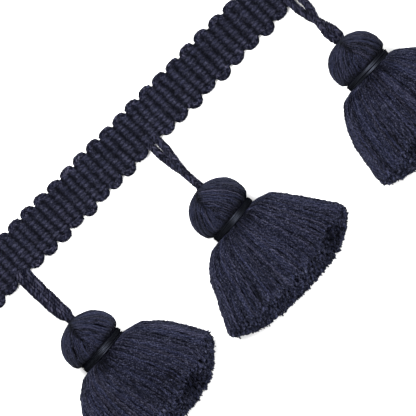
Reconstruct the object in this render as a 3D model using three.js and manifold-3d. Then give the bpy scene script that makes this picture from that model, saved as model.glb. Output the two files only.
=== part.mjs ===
// A cut length of tassel fringe trim, lying face up on a flat surface.
// Millimetres, +Z up. +X runs along the heading and the tassels point towards -Y.
// The origin is on the heading's flat back, on the line of the middle tassel.
import * as THREE from "three";
import { mergeVertices } from "three/addons/utils/BufferGeometryUtils.js";
import Module from "manifold-3d";

const wasm = await Module();
wasm.setup();

// ---- Driving dimensions ----

const PIECE_GAP = 0.3;

// The heading: a cord woven to and fro, which turns in a scallop at each edge.
const RIBS_PER_REPEAT = 20;
const RIBS_EACH_SIDE = 30;
const REPEAT_LEFT = 63.1;
const REPEAT_RIGHT = 68.1;
const BODY_HALF_WIDTH = 6.4;
const SCALLOP_REACH = 2.9;
const SCALLOP_UNEVEN = 0.25;
const EDGE_UNDERCUT = 0.45;
const EDGE_ROUNDING = 0.75;
const BODY_INSET = 0.85;
const RIB_HEIGHT = 2.8;
const GROOVE_HEIGHT = 2.0;
const EDGE_HEIGHT = 1.35;
const COLUMNS_PER_RIB = 3;
const UNEVEN_STEP = 2.4;

// The hanger: two legs of the same cord.
const LEG_RADIUS = 1.38;
const LEG_SIDES = 8;
const LEG_STEPS = 14;
const LEG_START_HEIGHT = 1.45;
const LEG_REACH_OUT = 0.36;

// The head, its neck binding and the collar of strands that the binding ties.
const HEAD_BASE_RADIUS = 8.9;
const DIMPLE_RADIUS = 3.3;
const DIMPLE_DEPTH = 0.5;
const FLAT_SPOT_DEPTH = 0.3;
const BINDING_RADIUS = 9.2;
const BINDING_BEVEL_ACROSS = 0.3;
const BINDING_BEVEL_ALONG = 0.6;
const COLLAR_RADIUS = 7.4;
const SHOULDER_RADIUS = 9.3;
const SHOULDER_DROP = 0.1;
const POLE_TILT = 1.5;
const ROUND_SIDES = 26;
const HEAD_RINGS_ABOVE = 5;
const HEAD_RINGS_BELOW = 3;

// The skirt: strands of one length that spread from the neck and lie on the surface.
const SKIRT_SIDES = 28;
const SECTION_POWER = 0.86;
const SECTION_CENTRE = 0.42;
const HEM_SLOPE = 5.0;
const HEM_CORNER_POWER = 3;

// One row for each tassel. x is where it hangs from the heading. The head's pole lies at poleX from
// there and at topY, turn is how far the tassel is turned about +Z, and entry is how far the hanger
// enters to the right of the pole. corner is the drop of each hem corner under the neck.
const TASSELS = [
  {
    name: "1",
    x: -REPEAT_LEFT,
    poleX: -0.5,
    topY: -29.3,
    turn: 4.1,
    entry: 1.2,
    headRadius: 10.6,
    widestDrop: 9.7,
    headLength: 12.9,
    bindingHeight: 2.4,
    hemDrop: 34.2,
    cornerLeft: 26.0,
    cornerRight: 20.8,
    hanger: [
      { along: 0.0, twist: 0, spread: 1.5 },
      { along: 0.6, twist: 0, spread: 1.45 },
      { along: 0.86, twist: 0, spread: 1.2 },
      { along: 0.95, twist: 0, spread: 0.4 },
    ],
    skirt: [
      { drop: 2, left: 11.8, right: 17.8, height: 18.8 },
      { drop: 5, left: 16.0, right: 21.1, height: 18.6 },
      { drop: 9, left: 19.2, right: 24.5, height: 18.1 },
      { drop: 15, left: 22.2, right: 28.0, height: 17.1 },
      { drop: 21, left: 24.4, right: 31.1, height: 15.9 },
      { drop: 26, left: 26.0, right: 31.4, height: 14.9 },
      { drop: 34, left: 26.0, right: 31.4, height: 13.2 },
    ],
  },
  {
    name: "2",
    x: 0,
    poleX: -1.4,
    topY: -28.9,
    turn: 5.4,
    entry: 1.5,
    headRadius: 10.85,
    widestDrop: 9.7,
    headLength: 14.3,
    bindingHeight: 2.1,
    hemDrop: 33.5,
    cornerLeft: 26.0,
    cornerRight: 22.8,
    hanger: [
      { along: 0.15, twist: 0, spread: 1.4 },
      { along: 0.33, twist: 41, spread: 1.4 },
      { along: 0.46, twist: 62, spread: 1.4 },
      { along: 0.62, twist: 85, spread: 1.35 },
      { along: 0.75, twist: 90, spread: 1.3 },
      { along: 0.88, twist: 90, spread: 1.2 },
      { along: 0.95, twist: 90, spread: 0.4 },
    ],
    skirt: [
      { drop: 2, left: 13.5, right: 16.2, height: 18.8 },
      { drop: 5, left: 17.7, right: 18.6, height: 18.6 },
      { drop: 9, left: 21.0, right: 21.6, height: 18.1 },
      { drop: 15, left: 23.7, right: 25.6, height: 17.1 },
      { drop: 21, left: 26.9, right: 29.0, height: 15.9 },
      { drop: 26, left: 29.3, right: 30.5, height: 14.9 },
      { drop: 34, left: 29.3, right: 30.5, height: 13.2 },
    ],
  },
  {
    name: "3",
    x: REPEAT_RIGHT,
    poleX: 0.0,
    topY: -27.8,
    turn: 0.5,
    entry: 0.7,
    headRadius: 10.05,
    widestDrop: 8.9,
    headLength: 12.3,
    bindingHeight: 2.0,
    hemDrop: 35.0,
    cornerLeft: 30.2,
    cornerRight: 28.0,
    hanger: [
      { along: 0.1, twist: 0, spread: 1.5 },
      { along: 0.22, twist: 15, spread: 1.45 },
      { along: 0.34, twist: 50, spread: 1.4 },
      { along: 0.48, twist: 90, spread: 1.35 },
      { along: 0.62, twist: 112, spread: 1.35 },
      { along: 0.76, twist: 145, spread: 1.35 },
      { along: 0.88, twist: 168, spread: 1.2 },
      { along: 0.95, twist: 180, spread: 0.4 },
    ],
    skirt: [
      { drop: 2, left: 14.6, right: 13.4, height: 18.2 },
      { drop: 5, left: 17.2, right: 16.9, height: 18.0 },
      { drop: 9, left: 19.6, right: 20.0, height: 17.5 },
      { drop: 15, left: 21.7, right: 24.6, height: 16.6 },
      { drop: 21, left: 22.7, right: 27.4, height: 15.6 },
      { drop: 26, left: 23.2, right: 28.6, height: 14.7 },
      { drop: 34, left: 23.6, right: 28.6, height: 13.2 },
    ],
  },
];

const NAVY = 0x2c2e42;
const NAVY_HEAD = 0x2b2d40;
const BINDING_BLACK = 0x16181e;

const FINISHES = {
  heading: { color: NAVY, roughness: 0.92, metalness: 0 },
  hanger: { color: NAVY, roughness: 0.92, metalness: 0 },
  head: { color: NAVY_HEAD, roughness: 0.85, metalness: 0 },
  binding: { color: BINDING_BLACK, roughness: 0.35, metalness: 0 },
  skirt: { color: NAVY, roughness: 0.95, metalness: 0 },
};

// ---- Helpers ----

const degrees = THREE.MathUtils.degToRad;

/** A geometry with each vertex moved by a function, and shared vertices merged. */
function reshaped(geometry, move) {
  const place = geometry.getAttribute("position");
  const vertex = new THREE.Vector3();
  for (let i = 0; i < place.count; i += 1) {
    vertex.fromBufferAttribute(place, i);
    const moved = move(vertex);
    place.setXYZ(i, moved.x, moved.y, moved.z);
  }
  return welded(geometry);
}

/** A geometry that holds only places, with its shared vertices merged. */
function welded(geometry) {
  geometry.deleteAttribute("normal");
  geometry.deleteAttribute("uv");
  geometry.clearGroups();
  return mergeVertices(geometry, 1e-3);
}

/** A closed geometry as a manifold-3d solid. Faces that have closed up to a line are left out. */
function solidOf(geometry) {
  const closed = welded(geometry);
  const corners = closed.index.array;
  const kept = [];
  for (let i = 0; i < corners.length; i += 3) {
    const [a, b, c] = corners.slice(i, i + 3);
    if (a !== b && b !== c && c !== a) kept.push(a, b, c);
  }
  const vertProperties = new Float32Array(closed.getAttribute("position").array);
  const triVerts = new Uint32Array(kept);
  return new wasm.Manifold(new wasm.Mesh({ numProp: 3, vertProperties, triVerts }));
}

/** A manifold-3d solid as a three.js geometry. */
function geometryOf(solid) {
  const mesh = solid.getMesh();
  const geometry = new THREE.BufferGeometry();
  const places = new THREE.BufferAttribute(mesh.vertProperties, mesh.numProp);
  geometry.setAttribute("position", places);
  geometry.setIndex(new THREE.BufferAttribute(mesh.triVerts, 1));
  return geometry;
}

/** The value in a column of a table at a place between its rows. */
function between(rows, key, at, column) {
  const last = rows.length - 1;
  if (at <= rows[0][key]) return rows[0][column];
  if (at >= rows[last][key]) return rows[last][column];
  const next = rows.findIndex((row) => row[key] > at);
  const [from, to] = [rows[next - 1], rows[next]];
  const share = (at - from[key]) / (to[key] - from[key]);
  return THREE.MathUtils.lerp(from[column], to[column], share);
}

/** A named mesh with the finish of its kind of piece. */
function piece(kind, name, geometry) {
  geometry.computeVertexNormals();
  const material = new THREE.MeshStandardMaterial({ ...FINISHES[kind], flatShading: true });
  const mesh = new THREE.Mesh(geometry, material);
  mesh.name = name;
  return mesh;
}

// ---- The heading ----

/** Where a place counted in ribs from the middle tassel lies along X. */
function ribPlace(ribs) {
  const repeat = ribs < 0 ? REPEAT_LEFT : REPEAT_RIGHT;
  return (ribs * repeat) / RIBS_PER_REPEAT;
}

/** Whether a tassel hangs from the lower edge at this place, in place of a scallop. */
function isHung(ribs) {
  return ribs % RIBS_PER_REPEAT === 0;
}

/** How far an edge stands out at a place counted in ribs. side is 1 at the upper edge. */
function edgeReach(ribs, side) {
  const phase = side > 0 ? 1 : 0;
  const centre = Math.round((ribs - phase) / 2) * 2 + phase;
  const across = ribs - centre;
  const cutEnd = Math.abs(centre) >= RIBS_EACH_SIDE;
  if (cutEnd || (side < 0 && isHung(centre))) return BODY_HALF_WIDTH;
  const reach = SCALLOP_REACH + SCALLOP_UNEVEN * Math.sin(centre * UNEVEN_STEP + side);
  return BODY_HALF_WIDTH + reach * Math.sqrt(1 - across * across);
}

/** The heading: one strip with a rib for each pass of the cord and a scallop at each turn. */
function headingGeometry() {
  const columns = 2 * RIBS_EACH_SIDE * COLUMNS_PER_RIB;
  const strip = new THREE.BoxGeometry(2 * RIBS_EACH_SIDE, 3, 2, columns, 3, 2);
  return reshaped(strip, ({ x, y, z }) => {
    const column = Math.round((x + RIBS_EACH_SIDE) * COLUMNS_PER_RIB);
    const ribs = column / COLUMNS_PER_RIB - RIBS_EACH_SIDE;
    const inGroove = column % COLUMNS_PER_RIB === 0;
    const top = inGroove ? GROOVE_HEIGHT : RIB_HEIGHT;
    const side = Math.sign(y);
    const atEdge = Math.abs(y) > 1;
    const level = Math.round(z) + 1;
    const height = [0, EDGE_HEIGHT, top - (atEdge ? EDGE_ROUNDING / 2 : 0)][level];
    const inset = [EDGE_UNDERCUT, 0, EDGE_ROUNDING][level];
    const reach = atEdge ? edgeReach(ribs, side) - inset : BODY_HALF_WIDTH - BODY_INSET;
    return new THREE.Vector3(ribPlace(ribs), side * reach, height);
  });
}

// ---- The hanger ----

/** One leg of a hanger, wound round the hanger's own line as the table of its tassel says. */
class LegCurve extends THREE.Curve {
  constructor(line, rows, side) {
    super();
    this.line = line;
    this.rows = rows;
    this.side = side;
  }

  getPoint(t, target = new THREE.Vector3()) {
    const twist = degrees(between(this.rows, "along", t, "twist"));
    const spread = this.side * between(this.rows, "along", t, "spread");
    const across = new THREE.Vector3(1, 0, 0);
    const up = new THREE.Vector3().crossVectors(this.line.getTangent(t), across).negate();
    target.copy(this.line.getPoint(t));
    target.addScaledVector(across, spread * Math.cos(twist));
    return target.addScaledVector(up, spread * Math.sin(twist));
  }
}

/** The hanger's line, from the heading's lower edge to the dimple in the head. */
function hangerLine(tassel, frame) {
  const start = new THREE.Vector3(0, -BODY_HALF_WIDTH - PIECE_GAP, LEG_START_HEIGHT);
  const end = new THREE.Vector3(tassel.entry, PIECE_GAP - DIMPLE_DEPTH, 0).applyMatrix4(frame);
  const reach = start.distanceTo(end) * LEG_REACH_OUT;
  const axis = new THREE.Vector3(0, 1, 0).transformDirection(frame);
  const out = start.clone().add(new THREE.Vector3(0, -reach, 0));
  const back = end.clone().addScaledVector(axis, reach);
  return new THREE.CubicBezierCurve3(start, out, back, end);
}

/** The hanger: two tubes side by side that twist round each other, joined where they touch. */
function hangerGeometry(tassel, frame) {
  const line = hangerLine(tassel, frame);
  const section = new THREE.Shape().absarc(0, 0, LEG_RADIUS, 0, 2 * Math.PI);
  const legs = [-1, 1].map((side) => {
    const extrudePath = new LegCurve(line, tassel.hanger, side);
    const options = { steps: LEG_STEPS, bevelEnabled: false, extrudePath };
    return solidOf(new THREE.ExtrudeGeometry(section, { ...options, curveSegments: LEG_SIDES / 2 }));
  });
  return geometryOf(legs[0].add(legs[1]));
}

// ---- The head and its binding ----

/** The head's profile, from the dimple at its pole over its widest ring to its flat base. */
function headProfile({ headRadius: radius, widestDrop, headLength }) {
  const points = [
    new THREE.Vector2(0, -DIMPLE_DEPTH),
    new THREE.Vector2(DIMPLE_RADIUS * 0.6, -DIMPLE_DEPTH),
  ];
  const startAngle = Math.asin(DIMPLE_RADIUS / radius);
  for (let ring = 0; ring <= HEAD_RINGS_ABOVE; ring += 1) {
    const angle = THREE.MathUtils.lerp(startAngle, Math.PI / 2, ring / HEAD_RINGS_ABOVE);
    points.push(new THREE.Vector2(radius * Math.sin(angle), widestDrop * (Math.cos(angle) - 1)));
  }
  const endAngle = Math.acos(HEAD_BASE_RADIUS / radius);
  const depth = (headLength - widestDrop) / Math.sin(endAngle);
  for (let ring = 1; ring <= HEAD_RINGS_BELOW; ring += 1) {
    const angle = (endAngle * ring) / HEAD_RINGS_BELOW;
    const drop = widestDrop + depth * Math.sin(angle);
    points.push(new THREE.Vector2(radius * Math.cos(angle), -drop));
  }
  points.push(new THREE.Vector2(0, -headLength));
  return points.reverse();
}

/** The head: a ball with a dimple at its pole and a small flat spot where it rests. */
function headGeometry(tassel, frame) {
  const ball = new THREE.LatheGeometry(headProfile(tassel), ROUND_SIDES);
  ball.applyMatrix4(frame);
  const size = 4 * tassel.headRadius;
  const below = new THREE.BoxGeometry(size, size, size);
  below.translate(0, frame.elements[13], -size / 2);
  return geometryOf(solidOf(ball).subtract(solidOf(below)));
}

/** The binding: a ring of wound thread round the collar, just under the head. */
function bindingGeometry(tassel, frame) {
  const inner = COLLAR_RADIUS + PIECE_GAP;
  const shoulder = BINDING_RADIUS - BINDING_BEVEL_ACROSS;
  const top = -tassel.headLength - PIECE_GAP;
  const base = top - tassel.bindingHeight;
  const profile = [
    new THREE.Vector2(inner, top),
    new THREE.Vector2(inner, base),
    new THREE.Vector2(shoulder, base),
    new THREE.Vector2(BINDING_RADIUS, base + BINDING_BEVEL_ALONG),
    new THREE.Vector2(BINDING_RADIUS, top - BINDING_BEVEL_ALONG),
    new THREE.Vector2(shoulder, top),
    new THREE.Vector2(inner, top),
  ];
  return welded(new THREE.LatheGeometry(profile, ROUND_SIDES).applyMatrix4(frame));
}

// ---- The skirt ----

/** The collar's rows, which run along the tilted axis. Under them come the table's own drops. */
function collarRows({ headLength, bindingHeight }) {
  const top = headLength + PIECE_GAP;
  const foot = top + bindingHeight + PIECE_GAP;
  return [
    { axial: top, radius: COLLAR_RADIUS },
    { axial: foot, radius: COLLAR_RADIUS },
    { axial: foot + SHOULDER_DROP, radius: SHOULDER_RADIUS },
  ];
}

/** How far below the neck the strands end at an angle round the skirt: 0 is right, 90 is up. */
function hemDrop(tassel, angle) {
  const corner = Math.cos(angle) > 0 ? tassel.cornerRight : tassel.cornerLeft;
  const sag = (tassel.hemDrop - corner) * Math.abs(Math.cos(angle)) ** HEM_CORNER_POWER;
  return tassel.hemDrop - sag - HEM_SLOPE * Math.max(0, Math.sin(angle));
}

/** A power of a sine or cosine that keeps its sign, which squares a round section a little. */
function squared(value) {
  return Math.sign(value) * Math.abs(value) ** SECTION_POWER;
}

/** A point of the skirt's surface at a drop below the neck and an angle round it. */
function skirtPoint(tassel, neck, drop, angle) {
  const side = Math.cos(angle) > 0 ? "right" : "left";
  const half = between(tassel.skirt, "drop", drop, side);
  const height = between(tassel.skirt, "drop", drop, "height");
  const centre = SECTION_CENTRE * height;
  const rise = centre + (height - centre) * squared(Math.sin(angle));
  return new THREE.Vector3(half * squared(Math.cos(angle)), neck.y - drop, Math.max(0, rise));
}

/** The skirt: a flared bell of strands, flat underneath, with a collar inside the binding. */
function skirtGeometry(tassel, frame) {
  const collars = collarRows(tassel);
  const rows = collars.length + tassel.skirt.length;
  const tube = new THREE.CylinderGeometry(1, 1, rows - 1, SKIRT_SIDES, rows - 1);
  const lowest = tassel.skirt.at(-1).drop;
  const neck = new THREE.Vector3(0, -tassel.headLength - tassel.bindingHeight, 0).applyMatrix4(frame);
  return reshaped(tube, ({ x, y, z }) => {
    const row = Math.round((rows - 1) / 2 - y);
    const angle = Math.atan2(z, x);
    const collar = collars[row];
    const onAxis = Math.hypot(x, z) < 0.5;
    if (collar) {
      const radius = onAxis ? 0 : collar.radius;
      const [across, up] = [radius * Math.cos(angle), radius * Math.sin(angle)];
      return new THREE.Vector3(across, -collar.axial, up).applyMatrix4(frame);
    }
    if (onAxis) {
      const height = SECTION_CENTRE * tassel.skirt.at(-1).height;
      return new THREE.Vector3(0, neck.y - tassel.hemDrop, height);
    }
    const share = tassel.skirt[row - collars.length].drop / lowest;
    return skirtPoint(tassel, neck, share * hemDrop(tassel, angle), angle);
  });
}

// ---- The trim ----

/** The tilted frame of a tassel's head, from its pole down its axis, in the tassel's group. */
function headFrame(tassel) {
  const tilt = degrees(POLE_TILT);
  const centreHeight = tassel.headRadius - FLAT_SPOT_DEPTH;
  const pole = centreHeight + tassel.widestDrop * Math.sin(tilt);
  const turns = new THREE.Euler(tilt, 0, degrees(tassel.turn), "ZYX");
  const frame = new THREE.Matrix4().makeRotationFromEuler(turns);
  return frame.setPosition(tassel.poleX, tassel.topY, pole);
}

/** One tassel: its hanger, head, binding and skirt, in a group at the foot of its hanger. */
function tasselGroup(tassel) {
  const frame = headFrame(tassel);
  const group = new THREE.Group();
  group.position.x = tassel.x;
  group.add(piece("hanger", `hanger_${tassel.name}`, hangerGeometry(tassel, frame)));
  group.add(piece("head", `head_${tassel.name}`, headGeometry(tassel, frame)));
  group.add(piece("binding", `binding_${tassel.name}`, bindingGeometry(tassel, frame)));
  group.add(piece("skirt", `skirt_${tassel.name}`, skirtGeometry(tassel, frame)));
  return group;
}

const trim = new THREE.Group();
trim.add(piece("heading", "heading", headingGeometry()));
trim.add(...TASSELS.map(tasselGroup));

export default trim;
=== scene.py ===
"""Dresses a cut length of tassel fringe trim: its cord, yarn, thread and cut ends.

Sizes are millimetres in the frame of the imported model: +X along the heading, -Y
towards the tassels' hems and +Z up from the surface that the trim lies on.
"""

import logging
import math
from dataclasses import dataclass, fields, replace
from enum import Enum
from functools import partialmethod
from typing import ClassVar, Sequence

import bpy
import numpy as np
from mathutils import Matrix, Vector


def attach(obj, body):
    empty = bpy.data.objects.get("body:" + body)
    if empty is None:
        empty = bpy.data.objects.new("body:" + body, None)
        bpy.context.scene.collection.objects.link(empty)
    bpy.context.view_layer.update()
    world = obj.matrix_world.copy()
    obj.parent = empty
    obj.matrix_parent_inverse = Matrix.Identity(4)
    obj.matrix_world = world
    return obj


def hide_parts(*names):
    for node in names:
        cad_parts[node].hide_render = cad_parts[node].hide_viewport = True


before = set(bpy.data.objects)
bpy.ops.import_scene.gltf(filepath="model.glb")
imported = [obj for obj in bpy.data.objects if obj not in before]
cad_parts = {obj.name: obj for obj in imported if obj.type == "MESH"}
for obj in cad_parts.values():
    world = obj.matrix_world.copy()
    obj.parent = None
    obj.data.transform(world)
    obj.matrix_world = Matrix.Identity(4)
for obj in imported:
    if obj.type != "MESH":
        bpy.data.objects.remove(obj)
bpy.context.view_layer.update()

ROOT = "root"
MM = 0.001
TURN = 2 * math.pi
LEAST_HEIGHT = 0.03 * MM

log = logging.getLogger("tassel_fringe")

Points = np.ndarray
Rows = Sequence[tuple[float, ...]]
Colour = tuple[float, float, float]


# ---------------------------------------------------------------- small helpers


def between(rows: Rows, at: Points | float, column: int) -> Points:
    """Reads a table at places between its rows.

    Args:
        rows: The table, whose first column grows from row to row.
        at: Where to read it, in the units of the first column.
        column: The column to read.

    Returns:
        The column's values there, held at its end values outside the table.
    """
    table = np.asarray(rows, dtype=float)
    return np.interp(at, table[:, 0], table[:, column])


def smoothstep(values: Points | float, low: float, high: float) -> Points:
    """Eases from 0 at low to 1 at high."""
    share = np.clip((np.asarray(values, dtype=float) - low) / (high - low), 0.0, 1.0)
    return share * share * (3.0 - 2.0 * share)


def hump(values: Points | float, width: float) -> Points:
    """Falls from 1 at zero towards 0 on both sides, over about twice a width."""
    return np.exp(-((values / width) ** 2))


def signed_power(values: Points, power: float) -> Points:
    """Raises values to a power and keeps their signs."""
    return np.sign(values) * np.abs(values) ** power


def slow_noise(rng: np.random.Generator, count: int, knots: int) -> Points:
    """Makes a smooth random run of values.

    Args:
        rng: The source of random numbers.
        count: How many values to make.
        knots: How many independent random values the run passes through.

    Returns:
        The values, which lie mostly between -1 and 1.
    """
    places = np.linspace(0, knots - 1, count)
    values = rng.normal(0, 0.5, knots)
    left = np.minimum(places.astype(int), knots - 2)
    share = smoothstep(places - left, 0.0, 1.0)
    return values[left] * (1 - share) + values[left + 1] * share


def upwards(points: Points) -> Points:
    """Works out the upward normal of a path at each of its points.

    Args:
        points: The path's points, one row each.

    Returns:
        The unit normals.
    """
    tangent = np.gradient(points, axis=0)
    tangent /= np.linalg.norm(tangent, axis=1, keepdims=True)
    side = np.cross(tangent, [0.0, 0.0, 1.0])
    side /= np.maximum(np.linalg.norm(side, axis=1, keepdims=True), 1e-9)
    return np.cross(side, tangent)


def lifted(points: Points, least: float) -> Points:
    """Lifts the points that lie lower than a height up to it."""
    points[..., 2] = np.maximum(points[..., 2], least)
    return points


# ---------------------------------------------------------------- node trees


class Wire:
    """One output in a tree in the making, which can be reckoned with like a number."""

    def __init__(self, tree: "Tree", socket: bpy.types.NodeSocket) -> None:
        """Takes the tree and the output."""
        self.tree, self.socket = tree, socket

    def __getitem__(self, name: str | int) -> "Wire":
        """Finds another output of the same node."""
        return Wire(self.tree, self.socket.node.outputs[name])

    def combined(self, kind: str, operation: str, *others: object) -> "Wire":
        """Adds a node that works out one value from this one and others."""
        return self.tree.node(kind, dict(enumerate((self, *others))), operation=operation)

    def scaled(self, by: object) -> "Wire":
        """Scales this vector by a number."""
        return self.tree.node("ShaderNodeVectorMath", {0: self, "Scale": by}, operation="SCALE")

    def __rsub__(self, other: float) -> "Wire":
        """Takes this value from a number."""
        return self * -1 + other

    maths = partialmethod(combined, "ShaderNodeMath")
    vector_maths = partialmethod(combined, "ShaderNodeVectorMath")
    __add__ = __radd__ = partialmethod(combined, "ShaderNodeMath", "ADD")
    __mul__ = __rmul__ = partialmethod(combined, "ShaderNodeMath", "MULTIPLY")
    __sub__ = partialmethod(combined, "ShaderNodeMath", "SUBTRACT")
    __truediv__ = partialmethod(combined, "ShaderNodeMath", "DIVIDE")
    __mod__ = partialmethod(combined, "ShaderNodeMath", "MODULO")


class Tree:
    """A node tree with named sockets, which is built on first use and shared afterwards."""

    NAME: ClassVar[str]
    KIND: ClassVar[str] = "GeometryNodeTree"
    TAKES: ClassVar[dict[str, str]]
    GIVES: ClassVar[dict[str, str]] = {"Mesh": "Geometry"}

    def __init__(self) -> None:
        """Makes the tree's sockets, then its nodes."""
        self.tree = bpy.data.node_groups.new(self.NAME, self.KIND)
        for way, sockets in (("INPUT", self.TAKES), ("OUTPUT", self.GIVES)):
            for name, kind in sockets.items():
                self.tree.interface.new_socket(name, in_out=way, socket_type=f"NodeSocket{kind}")
        self.start = self.tree.nodes.new("NodeGroupInput")
        end = self.tree.nodes.new("NodeGroupOutput")
        for name, wire in self.results().items():
            self.feed(end.inputs[name], wire)

    @classmethod
    def get(cls) -> bpy.types.NodeTree:
        """Returns the tree, and builds it on first use."""
        return bpy.data.node_groups.get(cls.NAME) or cls().tree

    def results(self) -> dict[str, Wire]:
        """Adds the nodes, and returns what goes to each of the tree's outputs."""
        raise NotImplementedError

    def __getitem__(self, name: str) -> Wire:
        """Finds what an input of the tree brings in."""
        return Wire(self, self.start.outputs[name])

    def node(self, kind: str, inputs: dict | None = None, **settings: object) -> Wire:
        """Adds a node.

        Args:
            kind: The node's type name.
            inputs: Values or wires for its inputs, by name or place.
            **settings: The node's own properties.

        Returns:
            Its first output.
        """
        made = self.tree.nodes.new(kind)
        for key, value in settings.items():
            setattr(made, key, value)
        for key, value in (inputs or {}).items():
            self.feed(made.inputs[key], value)
        return Wire(self, made.outputs[0])

    def feed(self, socket: bpy.types.NodeSocket, value: object) -> None:
        """Links a wire to an input, or sets the input to a value.

        Args:
            socket: The input.
            value: The wire or the value.
        """
        if isinstance(value, Wire):
            self.tree.links.new(value.socket, socket)
        else:
            socket.default_value = value


class GrowthTree(Tree):
    """Geometry Nodes that grow a mesh along the lines of edges they get."""

    def curves(self) -> Wire:
        """Turns the lines into curves."""
        return self.node("GeometryNodeMeshToCurve", {"Mesh": self["Paths"]})

    def position(self) -> Wire:
        """Reads the places of a geometry's points."""
        return self.node("GeometryNodeInputPosition")

    def stored(
        self, geometry: Wire, name: str, value: Wire, domain: str = "POINT", kind: str = "FLOAT"
    ) -> Wire:
        """Stores a named attribute.

        Args:
            geometry: The geometry that carries it.
            name: The attribute's name.
            value: Its value.
            domain: The elements that it belongs to.
            kind: Its data type.

        Returns:
            The geometry with the attribute.
        """
        inputs = {"Geometry": geometry, "Name": name, "Value": value}
        return self.node("GeometryNodeStoreNamedAttribute", inputs, data_type=kind, domain=domain)

    def kept(self, name: str, kind: str = "FLOAT") -> Wire:
        """Reads a named attribute back."""
        return self.node("GeometryNodeInputNamedAttribute", {"Name": name}, data_type=kind)

    def chance(self, seed: Wire, low: float | Wire, high: float | Wire) -> Wire:
        """Draws a random number between two values for each element."""
        inputs = {2: low, 3: high, "ID": self.node("GeometryNodeInputIndex"), "Seed": seed}
        return self.node("FunctionNodeRandomValue", inputs, data_type="FLOAT")[1]

    def dressed(self, geometry: Wire) -> dict[str, Wire]:
        """Presses a mesh flat where it would go under the surface, and dresses it.

        Args:
            geometry: The mesh or its instances.

        Returns:
            The real, smooth mesh with its material, as the tree's output.
        """
        real = self.node("GeometryNodeRealizeInstances", {"Geometry": geometry})
        place = self.node("ShaderNodeSeparateXYZ", {0: self.position()})
        height = place[2].maths("MAXIMUM", LEAST_HEIGHT)
        pressed = self.node("ShaderNodeCombineXYZ", {0: place, 1: place[1], 2: height})
        rested = self.node("GeometryNodeSetPosition", {"Geometry": real, "Position": pressed})
        smooth = self.node("GeometryNodeSetShadeSmooth", {"Geometry": rested})
        looks = {"Geometry": smooth, "Material": self["Material"]}
        return {"Mesh": self.node("GeometryNodeSetMaterial", looks)}


class YarnTree(GrowthTree):
    """Geometry Nodes that sweep a twisted, plied yarn along every line."""

    NAME = "Yarn sweep"
    TAKES = {
        "Paths": "Geometry", "Radius": "Float", "Sides": "Int", "Plies": "Float", "Ply depth": "Float",
        "Turn length": "Float", "Flatness": "Float", "Level": "Bool", "Seed": "Int", "Material": "Material",
    }
    SHUFFLE = 13.7
    LEAST_PACE = 0.8
    PACE_SPREAD = 0.45

    def results(self) -> dict[str, Wire]:
        """Adds the nodes.

        Returns:
            The smooth closed mesh of all the yarns.
        """
        strand = self.stored(self.curves(), "strand", self.chance(self["Seed"], 0.0, 1.0), domain="CURVE")
        hung = self.node("GeometryNodeSetCurveNormal", {"Curve": strand})
        laid = self.node("GeometryNodeSetCurveNormal", {"Curve": strand}, mode="Z_UP")
        ways = {"Switch": self["Level"], "False": hung, "True": laid}
        turned = self.node("GeometryNodeSwitch", ways, input_type="GEOMETRY")
        along = self.stored(turned, "along", self.node("GeometryNodeSplineParameter")["Length"])
        girth = self.kept("width") * self["Radius"]
        swept = self.node(
            "GeometryNodeCurveToMesh",
            {"Curve": along, "Profile Curve": self.section(), "Scale": girth, "Fill Caps": True},
        )
        return self.dressed(self.plied(swept))

    def section(self) -> Wire:
        """Adds the yarn's section, a circle of radius 1 that can be flattened.

        Returns:
            The section. Its round attribute grows from 0 to 1 around it.
        """
        circle = self.node("GeometryNodeCurvePrimitiveCircle", {"Resolution": self["Sides"], "Radius": 1.0})
        squash = self.node("ShaderNodeCombineXYZ", {"X": 1.0, "Y": self["Flatness"], "Z": 1.0})
        place = self.position().vector_maths("MULTIPLY", squash)
        moved = self.node("GeometryNodeSetPosition", {"Geometry": circle, "Position": place})
        return self.stored(moved, "round", self.node("GeometryNodeSplineParameter")["Factor"])

    def plied(self, mesh: Wire) -> Wire:
        """Adds the plies, which wind round a swept yarn at a pace of each strand's own.

        Args:
            mesh: The swept yarn.

        Returns:
            The mesh. Its lobe attribute is 1 on a ply and -1 between two.
        """
        strand = self.kept("strand")
        pace = (strand * self.SHUFFLE).maths("FRACT") * self.PACE_SPREAD + self.LEAST_PACE
        wound = self.kept("along") / (self["Turn length"] * pace)
        angle = (self.kept("round") + (wound + strand)) * TURN * self["Plies"]
        lobed = self.stored(mesh, "lobe", angle.maths("COSINE"))
        swell = self.kept("width") * self["Radius"] * self["Ply depth"]
        outward = self.node("GeometryNodeInputNormal").scaled(self.kept("lobe") * swell)
        return self.node("GeometryNodeSetPosition", {"Geometry": lobed, "Offset": outward})


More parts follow.
